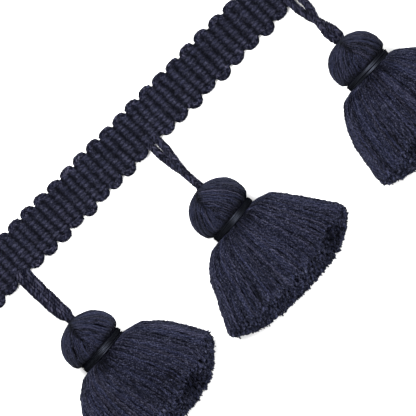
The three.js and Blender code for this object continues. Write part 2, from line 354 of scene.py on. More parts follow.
class ChainTree(GrowthTree):
    """Geometry Nodes that cover every line with the paired stitches of a knitted cord."""

    NAME = "Chain stitches"
    TAKES = {
        "Paths": "Geometry", "Cord radius": "Float", "Pitch": "Float", "Wales": "Int",
        "Stitch length": "Float", "Stitch width": "Float", "Stitch height": "Float", "Stitch rings": "Int",
        "Lean": "Float", "Slant": "Float", "Unevenness": "Float", "Seed": "Int", "Material": "Material",
    }
    LEGS_APART = 0.22
    LOOSENESS = 1.6

    def results(self) -> dict[str, Wire]:
        """Adds the nodes.

        Returns:
            The mesh of all the stitches.
        """
        steps = {"Curve": self.curves(), "Length": self["Pitch"]}
        spots = self.node("GeometryNodeCurveToPoints", steps, mode="LENGTH")
        way = self.stored(spots, "way", spots["Tangent"], kind="FLOAT_VECTOR")
        out = self.stored(way, "out", spots["Normal"], kind="FLOAT_VECTOR")
        doubled = {"Geometry": out, "Amount": self["Wales"] * 2}
        copies = self.node("GeometryNodeDuplicateElements", doubled, domain="POINT")
        placed, turned = self.placed(copies)
        size = self.chance(self["Seed"], 1.0 - self["Unevenness"], 1.0 + self["Unevenness"])
        put = self.node(
            "GeometryNodeInstanceOnPoints",
            {"Points": placed, "Instance": self.stitch(), "Rotation": turned, "Scale": size},
        )
        strand = self.chance(self["Seed"], 0.0, 1.0)
        return self.dressed(self.stored(put, "strand", strand, domain="INSTANCE"))

    def placed(self, copies: Wire) -> tuple[Wire, Wire]:
        """Moves each copied point to its stitch and turns it along that stitch.

        Args:
            copies: The points of the paths, each copied once for every stitch.

        Returns:
            The moved points and their rotation.
        """
        number = copies["Duplicate Index"]
        wale, side = (number / 2).maths("FLOOR"), number % 2 * 2 - 1
        share = self.node("ShaderNodeMath", {0: 1.0, 1: self["Wales"]}, operation="DIVIDE")
        angle = (wale * share + side * share * self.LEGS_APART) * TURN
        way, out = self.kept("way", "FLOAT_VECTOR"), self.kept("out", "FLOAT_VECTOR")
        over = way.vector_maths("CROSS_PRODUCT", out)
        radial = out.scaled(angle.maths("COSINE")).vector_maths("ADD", over.scaled(angle.maths("SINE")))
        loose = self["Unevenness"] * self.LOOSENESS
        uneven = self.chance(self["Seed"] + 1, loose * -1, loose)
        stagger = way.scaled((wale % 2 * 0.5 + uneven) * self["Pitch"])
        girth = self["Cord radius"] * self.kept("width")
        offset = radial.scaled(girth).vector_maths("ADD", stagger)
        moved = self.node("GeometryNodeSetPosition", {"Geometry": copies, "Offset": offset})
        tilt = side * self["Lean"] + (self["Slant"] + uneven)
        leaning = way.vector_maths("CROSS_PRODUCT", radial).scaled(tilt)
        axes = {"Primary Axis": way.vector_maths("ADD", leaning), "Secondary Axis": radial}
        return moved, self.node("FunctionNodeAxesToRotation", axes, primary_axis="Z", secondary_axis="X")

    def stitch(self) -> Wire:
        """Adds one stitch, a grain with its long side along Z and its height along X.

        Returns:
            The stitch.
        """
        ball = {"Segments": 6, "Rings": self["Stitch rings"], "Radius": 0.5}
        across = self.node("ShaderNodeSeparateXYZ", {0: self.position()})
        lobed = self.stored(self.node("GeometryNodeMeshUVSphere", ball), "lobe", across * 2.0)
        sides = {"X": self["Stitch height"], "Y": self["Stitch width"], "Z": self["Stitch length"]}
        size = self.node("ShaderNodeCombineXYZ", sides)
        return self.node("GeometryNodeTransform", {"Geometry": lobed, "Scale": size})


class FibreGroup(Tree):
    """Shader nodes shared by every yarn: strand to strand tone, painted shade and fine fibre."""

    NAME = "Spun fibre"
    KIND = "ShaderNodeTree"
    TAKES = {
        "Body": "Color", "Groove": "Color", "Fleck": "Color", "Faded": "Color", "Faded share": "Float",
        "Strand spread": "Float", "Fibre scale": "Float", "Fleck share": "Float", "Roughness": "Float",
    }
    GIVES = {"Colour": "Color", "Roughness": "Float", "Height": "Float"}
    BROAD_SCALE = 160.0
    CREST_POWER = 1.3
    SHUFFLE = 7.31
    FADED_FROM = 0.6
    FLECKS_FROM, FLECKS_TO = 0.5, 0.72
    DEEPEST = 0.85

    def attribute(self, name: str) -> Wire:
        """Reads a named attribute of the mesh."""
        return self.node("ShaderNodeAttribute", attribute_name=name)["Fac"]

    def noise(self, scale: float | Wire, detail: float) -> Wire:
        """Adds a noise fixed to the mesh."""
        place = self.node("ShaderNodeTexCoord")["Object"]
        return self.node("ShaderNodeTexNoise", {"Vector": place, "Scale": scale, "Detail": detail})["Fac"]

    def ranged(self, value: Wire, low: float, high: float) -> Wire:
        """Maps a value to 0 at low and to 1 at high."""
        return self.node("ShaderNodeMapRange", {"Value": value, "From Min": low, "From Max": high})

    def mixed(self, factor: Wire, first: Wire, second: Wire) -> Wire:
        """Mixes two colours."""
        return self.node("ShaderNodeMix", {"Factor": factor, 6: first, 7: second}, data_type="RGBA")[2]

    def results(self) -> dict[str, Wire]:
        """Adds the nodes.

        Returns:
            The yarn's colour, roughness and height.
        """
        strand = self.attribute("strand")
        fine, broad = self.noise(self["Fibre scale"], 3.0), self.noise(self.BROAD_SCALE, 2.0)
        # Painted shade between the plies: the Groove colour shows where crest falls to 0.
        crest = (self.attribute("lobe") * 0.5 + 0.5).maths("POWER", self.CREST_POWER)
        shuffled = (strand * self.SHUFFLE).maths("FRACT")
        faded = self.ranged(shuffled, self.FADED_FROM, 1.0) * self["Faded share"]
        body = self.mixed(crest, self["Groove"], self.mixed(faded, self["Body"], self["Faded"]))
        tone = (strand - 0.5) * self["Strand spread"]
        # Painted shade, where the deep attribute is high, darkens the colour and the flecks.
        lit = 1.0 - self.attribute("deep") * self.DEEPEST
        toned = body.scaled((tone + (broad - 0.5) * 0.5 + 1.0) * lit)
        flecks = self.ranged(fine, self.FLECKS_FROM, self.FLECKS_TO) * self["Fleck share"] * lit
        return {
            "Colour": self.mixed(flecks, toned, self["Fleck"]),
            "Roughness": (fine - 0.5) * 0.2 + self["Roughness"],
            "Height": fine,
        }


# ---------------------------------------------------------------- finishes


def set_inputs(node: bpy.types.Node, values: dict[str, object]) -> None:
    """Sets a node's inputs by name, a colour's with an alpha of 1."""
    for name, value in values.items():
        node.inputs[name].default_value = (*value, 1.0) if isinstance(value, tuple) else value


@dataclass(frozen=True)
class YarnFinish:
    """The finish of one kind of yarn, cord or thread. Colours are linear."""

    name: str
    body: Colour
    # The colour between the plies, which paints shade there.
    groove: Colour
    fleck: Colour
    faded: Colour = (0.052, 0.048, 0.070)
    faded_share: float = 0.5
    strand_spread: float = 0.6
    fibre_scale: float = 2600.0
    fleck_share: float = 0.25
    roughness: float = 0.9
    bump: float = 0.35
    bump_depth: float = 0.08 * MM
    sheen: float = 0.04
    sheen_tint: Colour = (0.45, 0.5, 0.7)
    sheen_roughness: float = 0.45
    specular: float = 0.02

    def material(self) -> bpy.types.Material:
        """Builds the material.

        Returns:
            The material, made on first use and shared afterwards.
        """
        made = bpy.data.materials.get(self.name)
        if made:
            return made
        made = bpy.data.materials.new(self.name)
        made.use_nodes = True
        nodes, link = made.node_tree.nodes, made.node_tree.links.new
        shader = nodes["Principled BSDF"]
        fibre, bump = nodes.new("ShaderNodeGroup"), nodes.new("ShaderNodeBump")
        fibre.node_tree = FibreGroup.get()
        set_inputs(fibre, {name: getattr(self, name.lower().replace(" ", "_")) for name in FibreGroup.TAKES})
        set_inputs(bump, {"Strength": self.bump, "Distance": self.bump_depth})
        set_inputs(shader, {"Sheen Weight": self.sheen, "Sheen Tint": self.sheen_tint})
        set_inputs(shader, {"Sheen Roughness": self.sheen_roughness, "Specular IOR Level": self.specular})
        link(fibre.outputs["Height"], bump.inputs["Height"])
        link(fibre.outputs["Colour"], shader.inputs["Base Color"])
        link(fibre.outputs["Roughness"], shader.inputs["Roughness"])
        link(bump.outputs["Normal"], shader.inputs["Normal"])
        return made


class Finish(Enum):
    """The finishes of the trim, by what they are put on."""

    CORD = YarnFinish(
        name="navy_knitted_cord",
        body=(0.0112, 0.0117, 0.0218),
        groove=(0.0009, 0.0010, 0.0024),
        fleck=(0.062, 0.062, 0.086),
        faded_share=0.35, fleck_share=0.3, fibre_scale=2000.0, strand_spread=1.6,
    )
    WARP = YarnFinish(
        name="navy_warp_yarn",
        body=(0.0118, 0.0124, 0.0240),
        groove=(0.0044, 0.0047, 0.0098),
        fleck=(0.056, 0.059, 0.084),
        faded_share=0.15, fleck_share=0.46, fibre_scale=2000.0, strand_spread=0.4,
    )
    HEAD = YarnFinish(
        name="navy_head_strands",
        body=(0.0104, 0.0119, 0.0252),
        groove=(0.0014, 0.0017, 0.0045),
        fleck=(0.064, 0.067, 0.104),
        faded_share=0.4, fleck_share=0.38, strand_spread=1.8, roughness=0.8,
    )
    SKIRT = YarnFinish(
        name="navy_two_ply_yarn",
        body=(0.0150, 0.0169, 0.0366),
        groove=(0.0004, 0.0005, 0.0016),
        fleck=(0.083, 0.087, 0.135),
        faded_share=0.4, fleck_share=0.48, fibre_scale=2000.0, strand_spread=1.2,
    )
    # A lighter copy of the skirt's yarn: painted light for the cut ends, which face down, away from the
    # lamps.
    ENDS = YarnFinish(
        name="navy_cut_yarn_ends",
        body=(0.0236, 0.0265, 0.0545),
        groove=(0.0010, 0.0012, 0.0034),
        fleck=(0.108, 0.114, 0.170),
        faded_share=0.25, fleck_share=0.5, fibre_scale=2000.0, strand_spread=1.05,
    )
    # A darker copy of the navy yarn: painted shade for the cores, the head's ball, the binding's bed and the
    # skirt's mass.
    DEPTH = YarnFinish(
        name="navy_yarn_in_shade",
        body=(0.0045, 0.0048, 0.0098),
        groove=(0.0025, 0.0027, 0.0052),
        fleck=(0.010, 0.010, 0.017),
        faded_share=0.0, sheen=0.0, specular=0.0,
    )
    # Its body colour shows in the painted highlight on top of the neck; painted shade darkens the rest of the
    # winding to near black.
    THREAD = YarnFinish(
        name="near_black_binding_thread",
        body=(0.0440, 0.0490, 0.0650),
        groove=(0.0070, 0.0080, 0.0120),
        fleck=(0.040, 0.044, 0.058),
        faded=(0.018, 0.021, 0.030),
        fleck_share=0.1, roughness=0.6, bump=0.15, sheen=0.0, specular=0.0,
    )


# ---------------------------------------------------------------- growing pieces along paths


def linked(made: bpy.types.Object) -> bpy.types.Object:
    """Puts an object in the scene and returns it."""
    bpy.context.scene.collection.objects.link(made)
    return made


def set_attribute(mesh: bpy.types.Mesh, name: str, values: Points) -> None:
    """Stores a number for each of a mesh's points."""
    mesh.attributes.new(name, "FLOAT", "POINT").data.foreach_set("value", values.astype(np.float32))


@dataclass(frozen=True)
class Path:
    """One strand's own line, how thick it is along it and how deep in shade it lies.

    The widths are shares of the yarn's radius, and deep is 0 in the light and 1 in the dark.
    """

    points: Points
    widths: Points | float = 1.0
    deep: Points | float = 0.0


@dataclass(frozen=True)
class Growth:
    """What a Geometry Nodes tree grows along paths. Each field sets the input of its name."""

    TREE: ClassVar[type[Tree]]
    LENGTHS: ClassVar[tuple[str, ...]]

    def inputs(self) -> dict[str, object]:
        """Lists the values of the tree's inputs, with lengths in metres.

        Returns:
            The values by the inputs' names.
        """
        values = {spec.name: getattr(self, spec.name) for spec in fields(self)}
        values.update({name: values[name] * MM for name in self.LENGTHS})
        return {name.replace("_", " ").capitalize(): value for name, value in values.items()}

    def lines(self, name: str, paths: Sequence[Path]) -> bpy.types.Object:
        """Makes an object that holds one open line of edges for each path.

        Args:
            name: The object's name.
            paths: The lines, in millimetres.

        Returns:
            The object. Its points carry each line's width and how deep it lies.
        """
        counts = [len(path.points) for path in paths]
        starts = np.cumsum([0, *counts[:-1]])
        edges = [(first + k, first + k + 1) for first, count in zip(starts, counts) for k in range(count - 1)]
        data = bpy.data.meshes.new(name)
        data.from_pydata((np.vstack([path.points for path in paths]) * MM).tolist(), edges, [])
        for label, values in (("width", [p.widths for p in paths]), ("deep", [p.deep for p in paths])):
            full = [np.broadcast_to(value, (count,)) for value, count in zip(values, counts)]
            set_attribute(data, label, np.concatenate(full))
        return linked(bpy.data.objects.new(name, data))

    def along(self, name: str, paths: Sequence[Path], finish: Finish, seed: int) -> bpy.types.Object:
        """Grows along paths and keeps the result as a plain mesh.

        Args:
            name: The piece's name.
            paths: The lines that it follows.
            finish: Its finish.
            seed: The seed of its strand to strand differences.

        Returns:
            The piece.
        """
        source = self.lines(name, paths)
        modifier = source.modifiers.new("grow", "NODES")
        modifier.node_group = self.TREE.get()
        values = {**self.inputs(), "Seed": seed, "Material": finish.value.material()}
        for socket in modifier.node_group.interface.items_tree:
            if socket.in_out == "INPUT" and socket.name in values:
                modifier[socket.identifier] = values[socket.name]
        graph = bpy.context.evaluated_depsgraph_get()
        mesh = bpy.data.meshes.new_from_object(source.evaluated_get(graph), depsgraph=graph)
        source.modifiers.remove(modifier)
        bpy.data.meshes.remove(source.data)
        mesh.name = name
        return linked(bpy.data.objects.new(name, mesh))


@dataclass(frozen=True)
class Yarn(Growth):
    """The section of a yarn and its twist."""

    TREE = YarnTree
    LENGTHS = ("radius", "turn_length")

    radius: float
    sides: int = 8
    plies: float = 2.0
    ply_depth: float = 0.16
    turn_length: float = 2.6
    flatness: float = 1.0
    level: bool = False


@dataclass(frozen=True)
class Chain(Growth):
    """The stitches of a knitted cord."""

    TREE = ChainTree
    LENGTHS = ("cord_radius", "pitch", "stitch_length", "stitch_width", "stitch_height")

    cord_radius: float = 1.12
    pitch: float = 1.25
    wales: int = 4
    stitch_length: float = 1.9
    stitch_width: float = 0.7
    stitch_height: float = 0.66
    stitch_rings: int = 4
    lean: float = 0.6
    slant: float = 0.15
    unevenness: float = 0.22


def lofted(name: str, rings: Sequence[Points], finish: Finish, capped: bool = True) -> bpy.types.Object:
    """Makes a smooth closed mesh through rings of points.

    Args:
        name: The piece's name.
        rings: The rings, in millimetres, with as many points each.
        finish: Its finish.
        capped: Whether both ends are closed. Otherwise the last ring joins the first.

    Returns:
        The piece.
    """
    count, around = len(rings), len(rings[0])
    faces = []
    for ring in range(count - capped):
        low, high = ring * around, (ring + 1) % count * around
        for k in range(around):
            after = (k + 1) % around
            faces.append([low + k, low + after, high + after, high + k])
    if capped:
        faces.append(list(range(around))[::-1])
        faces.append([(count - 1) * around + k for k in range(around)])
    data = bpy.data.meshes.new(name)
    data.from_pydata((np.vstack(rings) * MM).tolist(), [], faces)
    data.materials.append(finish.value.material())
    data.polygons.foreach_set("use_smooth", [True] * len(data.polygons))
    data.update()
    return linked(bpy.data.objects.new(name, data))


def joined(name: str, *pieces: bpy.types.Object) -> bpy.types.Object:
    """Joins mesh objects into one piece.

    Args:
        name: The name of the piece.
        *pieces: The objects, of which the first takes in the others.

    Returns:
        The piece.
    """
    with bpy.context.temp_override(active_object=pieces[0], selected_editable_objects=list(pieces)):
        bpy.ops.object.join()
    pieces[0].name = pieces[0].data.name = name
    return pieces[0]


def finish_piece(piece: bpy.types.Object, slot: str, *nodes: str) -> None:
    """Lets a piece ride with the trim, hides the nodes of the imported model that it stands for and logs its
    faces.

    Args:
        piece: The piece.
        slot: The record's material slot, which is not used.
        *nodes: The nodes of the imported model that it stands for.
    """
    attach(piece, ROOT)
    if nodes:
        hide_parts(*nodes)
    log.info("%s: %d faces", piece.name, len(piece.data.polygons))


# ---------------------------------------------------------------- the heading


@dataclass
class Heading:
    """The woven strip: a cord to and fro under lengthwise warps, with a scallop at each turn.

    The crowding's rows are a place counted in ribs and how far the ribs there lie off even
    spacing. The warps run in pairs, of which one lies over the odd ribs and one over the even.
    """

    ribs_per_repeat: int = 20
    ribs_each_side: int = 30
    repeat_left: float = 63.1
    repeat_right: float = 68.1
    half_width: float = 6.75
    middle_height: float = 1.45
    crowding: Rows = (
        (-30, 0.0), (-20, 0.3), (0, 0.3), (2, 0.0), (5, -0.6), (8, -0.85), (12, -0.5), (16, 0.0),
    )
    seed: int = 11

    upper_reach: float = 2.28
    upper_uneven: float = 0.2
    upper_root: float = 0.15
    upper_fullness: float = 0.56
    lower_reach: float = 2.4
    lower_uneven: float = 0.5
    lower_fullness: float = 0.78
    clearance: float = 0.05
    cord_radius: float = 1.28
    core_share: float = 0.92
    turn_samples: int = 15
    turn_width: float = 1.1
    turn_pinch: tuple[float, float] = (0.08, 0.28)
    turn_lean: float = 0.28
    turn_lift: float = 0.12
    turn_shade: float = 0.12
    end_inset: float = 1.2
    end_sink: float = 0.5

    pair_count: int = 10
    pair_pitch: float = 1.43
    pair_gap: float = 0.36
    warp_rise: float = 0.98
    warp_samples: int = 7
    warp_wander: float = 0.22
    warp_lift: float = 0.05
    warp_fullness: float = 0.9
    warp_widening: float = 0.26
    warp_uneven: float = 0.18
    edge_warp_width: float = 0.75
    groove_shade: float = 0.88
    shade_wander: float = 0.5

    ground_samples: int = 8
    ground_across: tuple[float, ...] = (-1.0, -0.97, -0.5, 0.0, 0.5, 0.97, 1.0)
    ground_height: float = 0.2
    ground_swell: float = 0.84
    ground_edge: float = 0.6
    ground_shade: float = 0.95
    ground_light: float = 0.6

    chain: Chain = Chain(
        cord_radius=0.99,
        pitch=1.1,
        wales=5,
        stitch_length=1.5,
        stitch_width=0.72,
        stitch_height=0.6,
        stitch_rings=3,
        lean=0.5,
        slant=0.0,
        unevenness=0.14,
    )
    warp: Yarn = Yarn(
        radius=0.54, sides=6, plies=3.0, ply_depth=0.04, turn_length=7.0, flatness=0.36, level=True
    )

    def rib_place(self, ribs: Points | float) -> Points:
        """Finds where places along the heading lie.

        Args:
            ribs: The places, counted in ribs from the middle tassel.

        Returns:
            Their X.
        """
        ribs = np.asarray(ribs, dtype=float)
        repeat = np.where(ribs < 0, self.repeat_left, self.repeat_right)
        return ribs * repeat / self.ribs_per_repeat + between(self.crowding, ribs, 1)

    def reach(self, centre: int, side: int) -> float:
        """Works out how far one scallop stands out.

        Args:
            centre: The scallop's place, counted in ribs.
            side: 1 at the upper edge and -1 at the lower.

        Returns:
            How far its tip lies beyond the ribs' ends.
        """
        if side > 0:
            return self.upper_reach + self.upper_uneven * math.sin(centre * 2.4)
        return self.lower_reach + self.lower_uneven * math.sin(centre * 1.9 + 2.0)

    def is_turn(self, centre: int, side: int) -> bool:
        """Says whether the cord turns here, and doesn't run on into a hanger or a cut end."""
        hung = side < 0 and centre % self.ribs_per_repeat == 0
        return not hung and abs(centre) < self.ribs_each_side

    def turn_path(self, centre: int, side: int, rng: np.random.Generator) -> Path:
        """Works out the cord's line round one scallop.

        Args:
            centre: The scallop's place, counted in ribs.
            side: 1 at the upper edge and -1 at the lower.
            rng: The source of the scallop's lean.

        Returns:
            The line, from one rib round to the next.
        """
        fullness, root = (self.upper_fullness, self.upper_root) if side > 0 else (self.lower_fullness, 0.0)
        tip = self.reach(centre, side) - self.cord_radius - self.clearance
        start, middle, end = self.rib_place([centre - 0.5, centre, centre + 0.5])
        lean = rng.normal(0, self.turn_lean)
        angle = np.concatenate([[0.0], np.linspace(0, math.pi, self.turn_samples), [math.pi]])
        swing = np.sin(angle) ** fullness
        narrowing = self.turn_width - rng.uniform(*self.turn_pinch) * swing
        x = middle + lean * swing - (end - start) / 2 * np.cos(angle) * narrowing
        y = self.half_width + root + swing * (tip - root)
        y[[0, -1]] -= self.end_inset
        z = self.middle_height + self.turn_lift * rng.normal() * swing
        z[[0, -1]] -= self.end_sink
        return Path(np.column_stack([x, side * y, z]), deep=self.turn_shade)

    def turns(self) -> list[Path]:
        """Lists the cord's lines round all the scallops.

        Returns:
            The lines, along the upper edge and then along the lower.
        """
        rng = np.random.default_rng(self.seed)
        found = []
        for side, phase in ((1, 1), (-1, 0)):
            for centre in range(-self.ribs_each_side + phase, self.ribs_each_side + 1, 2):
                if self.is_turn(centre, side):
                    found.append(self.turn_path(centre, side, rng))
        return found

    def warp_path(self, number: int, rng: np.random.Generator) -> Path:
        """Works out one warp's line over and under the ribs.

        Args:
            number: Which warp it is, counted from the lower edge.
            rng: The source of its unevenness.

        Returns:
            The line, wide where it lies over a rib and squeezed in the groove between two.
        """
        reach = self.ribs_each_side
        count = 2 * reach * self.warp_samples + 1
        ribs = np.linspace(-reach, reach, count)
        swing = np.sin(math.pi * (ribs + number))
        high = np.abs(swing)
        pair, second = divmod(number, 2)
        middle = self.pair_pitch * (pair - (self.pair_count - 1) / 2) + (second - 0.5) * self.pair_gap
        y = middle + self.warp_wander * slow_noise(rng, count, 2 * reach)
        lift = self.warp_lift * slow_noise(rng, count, 4 * reach)
        z = self.middle_height + signed_power(swing, self.warp_fullness) * (self.warp_rise + lift)
        widths = 1.0 + self.warp_widening * high + self.warp_uneven * slow_noise(rng, count, 4 * reach)
        widths *= self.edge_warp_width if pair in (0, self.pair_count - 1) else 1.0
        deep = self.groove_shade * (1 - high**2) + self.shade_wander * slow_noise(rng, count, 4 * reach)
        return Path(np.column_stack([self.rib_place(ribs), y, z]), widths, np.clip(deep, 0.0, 1.0))

    def warps(self) -> list[Path]:
        """Lists all the warps' lines."""
        rng = np.random.default_rng(self.seed + 1)
        return [self.warp_path(number, rng) for number in range(2 * self.pair_count)]

    def ground(self) -> bpy.types.Object:
        """Builds the band of cord under the warps, as one closed ribbed strip.

        Returns:
            The piece.
        """
        columns = 2 * self.ribs_each_side * self.ground_samples + 1
        ribs = np.linspace(-self.ribs_each_side, self.ribs_each_side, columns)
        swell = np.abs(np.sin(math.pi * ribs))
        across = np.array(self.ground_across)
        edging = np.where(np.abs(across) == 1, self.ground_edge, 1.0)
        y = (self.half_width - self.clearance) * across
        rings = []
        for x, rise in zip(self.rib_place(ribs), swell):
            height = (self.ground_height + self.ground_swell * rise) * edging
            z = self.middle_height + np.concatenate([height, -height[::-1]])
            rings.append(np.column_stack([np.full(len(z), x), np.concatenate([y, y[::-1]]), z]))
        piece = lofted("heading_ground", rings, Finish.WARP)
        deep = self.ground_shade - self.ground_light * swell**2
        set_attribute(piece.data, "deep", np.repeat(deep, 2 * len(across)))
        return piece

    def build(self) -> None:
        """Builds the heading's pieces: the ground, the scallops and the warps."""
        ground, turns = self.ground(), self.turns()
        core = Yarn(radius=self.cord_radius * self.core_share, sides=10, ply_depth=0.0)
        inside = core.along("heading_core", turns, Finish.DEPTH, self.seed)
        stitches = self.chain.along("heading_stitches", turns, Finish.CORD, self.seed)
        scallops = joined("heading_scallops", stitches, inside)
        warps = self.warp.along("heading_warps", self.warps(), Finish.WARP, self.seed)
        finish_piece(ground, "heading_cord", "heading")
        finish_piece(scallops, "heading_cord")
        finish_piece(warps, "heading_cord")


# ---------------------------------------------------------------- one tassel


@dataclass(frozen=True)
class TasselSizes:
    """The sizes in which one tassel differs from the others.

    The hanger's rows are along, twist, spread and girth. The skirt's rows are the drop under
    the neck, the half-widths to the left and to the right, and the height. The parting is the
    angle round the head at which its strands part. The sweep is how far the skirt's strands
    are combed to the right on their way down, and the hollow is where its hem stands open.
    """

    name: str
    seed: int
    x: float
    pole_x: float
    top_y: float
    turn: float
    entry: float
    head_radius: float
    widest_drop: float
    head_length: float
    binding_height: float
    hem_drop: float
    corner_left: float
    corner_right: float
    parting: float
    sweep: float
    hollow: float
    hanger: Rows
    skirt: Rows

    pole_tilt: float = 1.5
    base_radius: float = 8.9
    flat_spot: float = 0.3
    crown: float = 0.95
    hanger_slant: float = 0.15
    hanger_lean: float = 0.6
    binding_radius: float = 9.2
    dimple_depth: float = 0.5
    gap: float = 0.3

    def to_world(self, local: Points) -> Points:
        """Moves points from the tassel's own frame to the trim's.

        Args:
            local: The points, with the head's pole at the origin and the neck towards -Y.

        Returns:
            The moved points.
        """
        tilt = math.radians(self.pole_tilt)
        height = self.head_radius - self.flat_spot + self.widest_drop * math.sin(tilt)
        place = Matrix.Translation((self.x + self.pole_x, self.top_y, height))
        turn = Matrix.Rotation(math.radians(self.turn), 4, "Z")
        moved = np.array(place @ turn @ Matrix.Rotation(tilt, 4, "X"))
        return np.asarray(local) @ moved[:3, :3].T + moved[:3, 3]

    def wound(
        self, radius: Points | float, drop: Points | float, angle: Points, aside: Points | float = 0.0
    ) -> Points:
        """Places points round the tassel's axis.

        Args:
            radius: Their distances from the axis.
            drop: How far under the pole they lie.
            angle: Their angles: 0 is right and a quarter turn is up.
            aside: How far they are moved to the right.

        Returns:
            The points, in the trim's frame.
        """
        x, z = radius * np.cos(angle) + aside, radius * np.sin(angle)
        return self.to_world(np.column_stack([x, np.broadcast_to(-drop, x.shape), z]))

    def neck(self) -> Points:
        """Finds the middle of the neck, just under the binding."""
        return self.to_world([0.0, -self.head_length - self.binding_height, 0.0])

    def side(self, across: Points, drop: Points | float) -> Points:
        """Finds the skirt's half-width at a drop, on the side where shares across are."""
        return np.where(across > 0, between(self.skirt, drop, 2), between(self.skirt, drop, 1))


@dataclass
class Hanger:
    """The doubled cord that a tassel hangs on."""

    sizes: TasselSizes
    start: tuple[float, float, float] = (0.0, -6.7, 1.45)
    lead: float = 1.5
    reach_out: float = 0.36
    samples: int = 48
    sway: float = 0.1
    girth_wander: float = 0.12
    lead_shade: float = 0.3
    shade: float = 0.1
    mouth_shade: float = 0.5
    core: Yarn = Yarn(radius=1.14, sides=10, ply_depth=0.0)
    chain: Chain = Chain()

    def line(self, share: Points) -> Points:
        """Finds points of the hanger's own line.

        Args:
            share: Places along it, from 0 at the heading to 1 at the head.

        Returns:
            The points.
        """
        s = self.sizes
        start = self.start + np.array([s.x, 0.0, 0.0])
        entry = [s.entry, s.gap - s.dimple_depth, 0.0]
        end, pole, above = s.to_world([entry, [0.0, 0.0, 0.0], [0.0, 1.0, 0.0]])
        reach = np.linalg.norm(end - start) * self.reach_out
        out, back = start + [0.0, -reach, 0.0], end + (above - pole) * reach
        t = share[:, None]
        return (1 - t) ** 3 * start + 3 * (1 - t) ** 2 * t * out + 3 * (1 - t) * t**2 * back + t**3 * end

    def leg(self, side: int, rng: np.random.Generator) -> Path:
        """Works out one leg's line, from under the warps to inside the head's dimple.

        Args:
            side: 1 or -1.
            rng: The source of its unevenness.

        Returns:
            The line.
        """
        share = np.linspace(0, 1, self.samples)
        points = self.line(share)
        up = upwards(points)
        twist = np.radians(between(self.sizes.hanger, share, 1))
        spread = side * between(self.sizes.hanger, share, 2)
        points[:, 0] += spread * np.cos(twist) + self.sway * slow_noise(rng, self.samples, 9)
        points += up * (spread * np.sin(twist))[:, None]
        lead = [[points[0, 0], self.start[1] + self.lead, self.start[2]]]
        girth = between(self.sizes.hanger, np.concatenate([[0.0], share]), 3)
        widths = girth + self.girth_wander * slow_noise(rng, self.samples + 1, 12)
        deep = self.shade + self.mouth_shade * smoothstep(share, 0.9, 0.99)
        return Path(np.vstack([lead, points]), widths, np.concatenate([[self.lead_shade], deep]))

    def build(self) -> None:
        """Builds the hanger, two stitched legs round dark cores."""
        name, seed = self.sizes.name, self.sizes.seed
        rng = np.random.default_rng(seed + 50)
        legs = [self.leg(side, rng) for side in (-1, 1)]
        chain = replace(self.chain, slant=self.sizes.hanger_slant, lean=self.sizes.hanger_lean)
        stitches = chain.along(f"hanger_stitches_{name}", legs, Finish.CORD, seed)
        core = self.core.along(f"hanger_core_{name}", legs, Finish.DEPTH, seed)
        finish_piece(joined(f"hanger_cord_{name}", stitches, core), "hanger_cord", f"hanger_{name}")


